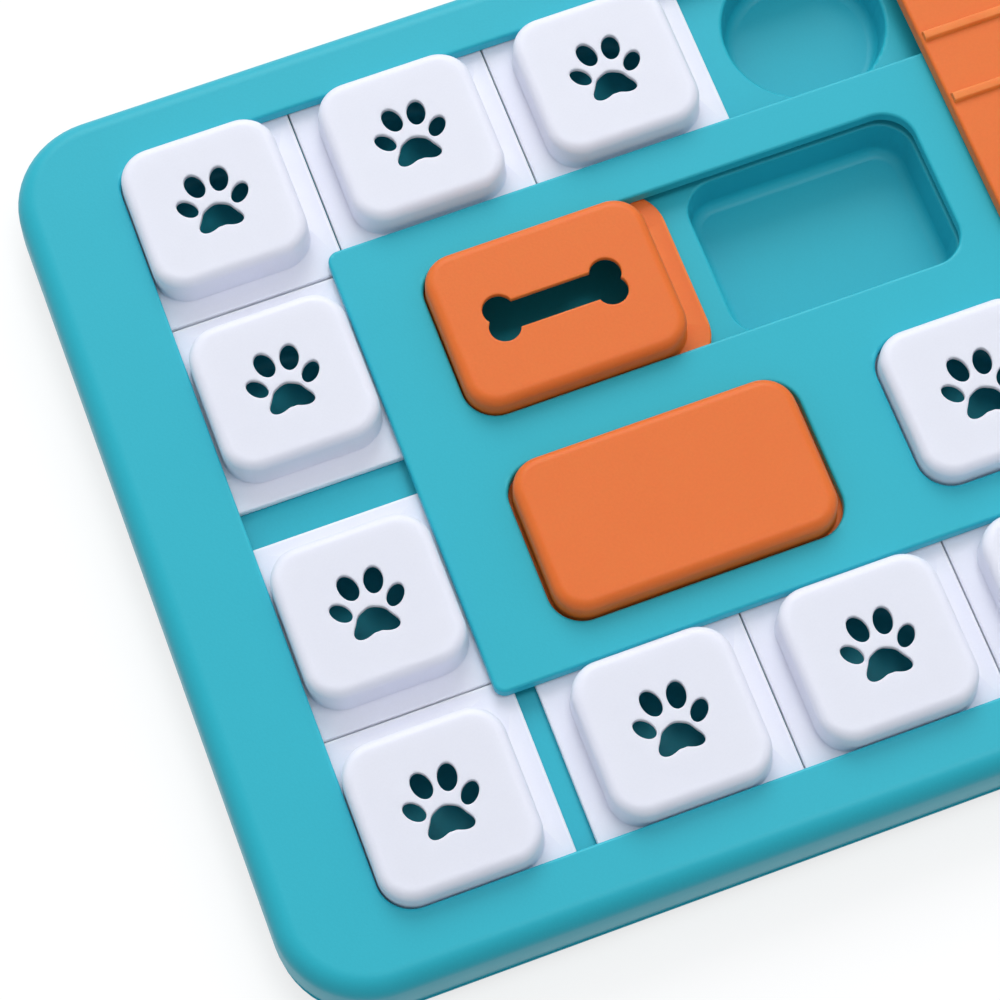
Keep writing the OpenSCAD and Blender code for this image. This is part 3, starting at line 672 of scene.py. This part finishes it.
def makeLid(materials):
    shape = lidShape
    low, high = nodeBox("flip_lid")
    hingeY, hingeZ = islandShape["hinge"]
    bottom = low.z
    nearY = hingeY + shape["hingeGap"]
    top = bottom + shape["thickness"]
    length, width = high.x - low.x, high.y - nearY
    centre = ((low.x + high.x) / 2, (nearY + high.y) / 2)
    outline = roundedBox(length, width, shape["corner"], centre)
    edge, wall, chamfer = shape["edge"], shape["wall"], shape["mouthChamfer"]
    crest = -shape["lean"] - edge
    hollow = roundedBox(length - 2 * wall, width - 2 * wall, shape["hollowCorner"], centre)
    bm = bmesh.new()
    crown = startRing(bm, outline(crest - 2 * flatMargin), top)
    fillRings(bm, crown)
    ring = pullProfile(bm, crown, outline, [(crest - flatMargin, top)])
    ring = pullProfile(bm, ring, outline,
                       arcProfile(crest, top - edge, edge, 90, shape["wallDeg"], steps=6))
    ring = pullProfile(bm, ring, outline, [(0, bottom + chamfer), (-chamfer, bottom)])
    ring = pullProfile(bm, ring, hollow, [(0, bottom), (0, top - wall)])
    fillRings(bm, ring)
    inset = shape["ribInset"]
    for i in range(shape["ribs"]):
        middle = high.y - shape["firstRib"] - i * shape["ribPitch"]
        addRib(bm, low.x + inset, high.x - inset, middle, top, shape)
    start, end = low.x + shape["barrelInset"][0], high.x - shape["barrelInset"][1]
    addBarrel(bm, (start, hingeY, hingeZ), (end, hingeY, hingeZ), shape["knuckle"])
    inset = shape["tabInset"]
    addBlock(bm, (start + inset, hingeY, hingeZ - shape["tabDown"]),
             (end - inset, nearY + shape["tabReach"], hingeZ + shape["tabUp"]))
    finishPiece(bm, "lid_shell", "flip_lid", materials["orangePlastic"],
                "flip_lid")
    print("lid done")


bellowsShape = {
    "radius": 14.0,
    "pleatDepth": 3.0,
    "pleats": 3,
    "stepsPerPleat": 10,
    "wall": 0.9,
    "crown": 9.0,             # radius of its flat top
    "crownRim": (1.0, 0.15),  # outwards and down from the edge of the top to the pleats
    "mouth": 7.0,             # radius of the opening in its foot
    "footSpread": 0.6,        # how far outside and above the foot's edge the first pleat starts
    "headRoom": 1.0,          # from the last pleat to the top
    "creaseDeg": 60,          # edges sharper than this stay sharp
}


def makeBellows(materials):
    low, high = nodeBox("squeaker_bellows")
    centre = middleOf(low, high)
    shape = bellowsShape
    wall, crown, spread = shape["wall"], shape["crown"], shape["footSpread"]
    steps = shape["stepsPerPleat"] * shape["pleats"]
    rise = high.z - low.z - (spread + shape["headRoom"])
    outside = []
    for i in range(steps + 1):
        swing = 0.5 - 0.5 * math.cos(2 * math.pi * shape["pleats"] * i / steps)
        outside.append((shape["radius"] - shape["pleatDepth"] * (1 - swing),
                        low.z + spread + rise * i / steps))
    rimOut, rimDown = shape["crownRim"]
    bm = bmesh.new()
    grown = roundRing(centre)
    foot = startRing(bm, grown(shape["mouth"]), low.z)
    ring = pullProfile(bm, foot, grown, [(outside[0][0] - spread, low.z)] + outside)
    ring = pullProfile(bm, ring, grown, [(crown + rimOut, high.z - rimDown), (crown, high.z)])
    fillRings(bm, ring)
    inside = startRing(bm, grown(shape["mouth"]), low.z + wall)
    lining = [(radius - wall, height) for radius, height in outside[2:]]
    ceiling = pullProfile(bm, inside, grown, lining + [(crown, high.z - wall)])
    fillRings(bm, ceiling)
    joinRings(bm, foot, inside)
    bellows = finishPiece(bm, "bellows_shell", "board", materials["bellowsVinyl"],
                          "squeaker_bellows", shape["creaseDeg"])
    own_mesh(bellows)
    print("bellows done")


footShape = {
    "edge": 0.8,            # rounding of the sole's edge
    "seatRound": 0.2,       # rounding of the edge against the tray
    "peg": 2.95,            # radius of the peg
    "pegChamfer": 0.4,
    "ringStart": 0.5,       # where the sole's ring starts, as a share of the foot's radius
    "ringDepth": 0.35,
    "ringWidth": 1.0,
    "ringSlope": 0.1,       # how far the ring's sides lean out
}


def makeFeet(materials):
    # a turned rubber foot with a shallow ring in its sole and a peg that plugs into the tray
    shape = footShape
    edge, depth, slope = shape["edge"], shape["ringDepth"], shape["ringSlope"]
    small, peg, chamfer = shape["seatRound"], shape["peg"], shape["pegChamfer"]
    seat = nodeBox("base_tray")[0].z
    for node in (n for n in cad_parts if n.startswith("foot_")):
        low, high = nodeBox(node)
        radius = (high.x - low.x) / 2
        ringIn = radius * shape["ringStart"]
        ringOut = ringIn + shape["ringWidth"]
        bm = bmesh.new()
        grown = roundRing(middleOf(low, high))
        middle = startRing(bm, grown(ringIn), 0)
        fillRings(bm, middle)
        ring = pullProfile(bm, middle, grown,
                           [(ringIn + slope, depth), (ringOut, depth), (ringOut + slope, 0)])
        ring = pullProfile(bm, ring, grown, arcProfile(radius - edge, edge, edge, -90, 0, steps=4))
        ring = pullProfile(bm, ring, grown,
                           arcProfile(radius - small, seat - small, small, 0, 90, steps=2))
        ring = pullProfile(bm, ring, grown,
                           [(peg, seat), (peg, high.z - chamfer), (peg - chamfer, high.z)])
        fillRings(bm, ring)
        finishPiece(bm, node + "_rubber", "board", materials["footRubber"], node)
    print("feet done")


def dressCadNodes(materials):
    # nodes whose solids are right as they are
    finishes = {"base_tray": "tealPlastic", "hinge_pin": "pinSteel",
                "squeaker_reed": "darkPlastic", "case_screws": "screwSteel"}
    for node, finish in finishes.items():
        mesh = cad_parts[node].data
        mesh.materials.clear()
        mesh.materials.append(materials[finish])
    print("tray, pin, reed and screws dressed")


studio = {
    "cameraPlace": (-0.2233, -0.33075, 0.83105),
    "cameraTurnDeg": (22.1794, 1.0921, -20.3017),
    "lens": 126.23,
    "sensor": 36.0,
    "clipStart": 0.01,
    "sky": (0.95, 0.97, 1.0),         # colour of the light from all round
    "ambient": 0.60,                  # its strength at the sides
    "ambientTilt": 0.10,              # more from the far side and less from the near side
    "floorSize": 6.0,                 # half of the floor's side, in metres
    "paper": (0.36, 0.36, 0.37),      # the floor that sends light back to the object
    "floorSoft": (0.30, 0.30, 0.30),  # the floor in view: the part that takes the shadow
    "floorLit": 0.72,                 # and the part that is as bright everywhere
    "lamps": {                        # place, aimed at, width, watts
        "far": ((0.5, 2.9, 2.5), (0.0, 0.0, 0.0), 2.6, 72.0),
        "overhead": ((0.45, 0.0, 2.6), (0.0, 0.0, 0.0), 0.8, 13.0),
    },
}


def backgroundMix(nodes, link, plain, shown, output):
    # what the camera, glossy and clear surfaces see, against what lights the object
    path = nodes.new("ShaderNodeLightPath")
    seen = addMath(nodes, "MAXIMUM")
    link(path.outputs["Is Camera Ray"], seen.inputs[0])
    link(path.outputs["Is Glossy Ray"], seen.inputs[1])
    either = addMath(nodes, "MAXIMUM")
    link(seen.outputs[0], either.inputs[0])
    link(path.outputs["Is Transmission Ray"], either.inputs[1])
    mix = nodes.new("ShaderNodeMixShader")
    link(either.outputs[0], mix.inputs["Fac"])
    link(plain.outputs[0], mix.inputs[1])
    link(shown.outputs[0], mix.inputs[2])
    link(mix.outputs[0], output.inputs["Surface"])


def makeFloor():
    bm = bmesh.new()
    bmesh.ops.create_grid(bm, x_segments=1, y_segments=1, size=studio["floorSize"])
    mesh = bpy.data.meshes.new("studioFloor")
    bm.to_mesh(mesh)
    bm.free()
    floor = bpy.data.objects.new("studioFloor", mesh)
    bpy.context.scene.collection.objects.link(floor)
    material = bpy.data.materials.new("studioFloor")
    material.use_nodes = True
    nodes, link = material.node_tree.nodes, material.node_tree.links.new
    nodes.remove(nodes["Principled BSDF"])
    paper = nodes.new("ShaderNodeBsdfDiffuse")
    paper.inputs["Color"].default_value = (*studio["paper"], 1)
    soft = nodes.new("ShaderNodeBsdfDiffuse")
    soft.inputs["Color"].default_value = (*studio["floorSoft"], 1)
    lit = nodes.new("ShaderNodeEmission")
    lit.inputs["Strength"].default_value = studio["floorLit"]
    bright = nodes.new("ShaderNodeAddShader")
    link(soft.outputs[0], bright.inputs[0])
    link(lit.outputs[0], bright.inputs[1])
    backgroundMix(nodes, link, paper, bright, nodes["Material Output"])
    mesh.materials.append(material)


def makeWorld(scene):
    # light from all round, a little more of it from the far side, behind a white background
    world = bpy.data.worlds.new("studioWorld")
    scene.world = world
    world.use_nodes = True
    nodes, link = world.node_tree.nodes, world.node_tree.links.new
    plain = nodes["Background"]
    plain.inputs["Color"].default_value = (*studio["sky"], 1)
    heading = nodes.new("ShaderNodeTexCoord")
    parts = nodes.new("ShaderNodeSeparateXYZ")
    link(heading.outputs["Generated"], parts.inputs["Vector"])
    tilt = nodes.new("ShaderNodeMapRange")
    tilt.inputs["From Min"].default_value = -1.0
    tilt.inputs["To Min"].default_value = studio["ambient"] - studio["ambientTilt"]
    tilt.inputs["To Max"].default_value = studio["ambient"] + studio["ambientTilt"]
    link(parts.outputs["Y"], tilt.inputs["Value"])
    link(tilt.outputs["Result"], plain.inputs["Strength"])
    shown = nodes.new("ShaderNodeBackground")
    shown.inputs["Color"].default_value = (1, 1, 1, 1)
    shown.inputs["Strength"].default_value = 1.0
    backgroundMix(nodes, link, plain, shown, nodes["World Output"])


def makeLamp(scene, name, place, aim, width, watts):
    light = bpy.data.lights.new(name, "AREA")
    light.shape = "DISK"
    light.size = width
    light.energy = watts
    lamp = bpy.data.objects.new(name, light)
    lamp.location = place
    lamp.rotation_euler = (Vector(aim) - Vector(place)).to_track_quat("-Z", "Y").to_euler()
    scene.collection.objects.link(lamp)


def makeCamera(scene):
    camera = bpy.data.objects.new("camera", bpy.data.cameras.new("camera"))
    camera.location = studio["cameraPlace"]
    camera.rotation_euler = Euler([math.radians(a) for a in studio["cameraTurnDeg"]])
    camera.data.lens = studio["lens"]
    camera.data.sensor_width = studio["sensor"]
    camera.data.clip_start = studio["clipStart"]
    scene.collection.objects.link(camera)
    scene.camera = camera


def makeStudio():
    scene = bpy.context.scene
    scene.view_settings.view_transform = "Standard"
    makeWorld(scene)
    for name, lamp in studio["lamps"].items():
        makeLamp(scene, name, *lamp)
    makeCamera(scene)
    makeFloor()
    print("studio done")


materials = makeMaterials()
makeStudio()
makeTiles(materials)
makeBoneSlider(materials)
makeButton(materials)
makeRim(materials)
makeIsland(materials)
makeLid(materials)
makeBellows(materials)
makeFeet(materials)
dressCadNodes(materials)
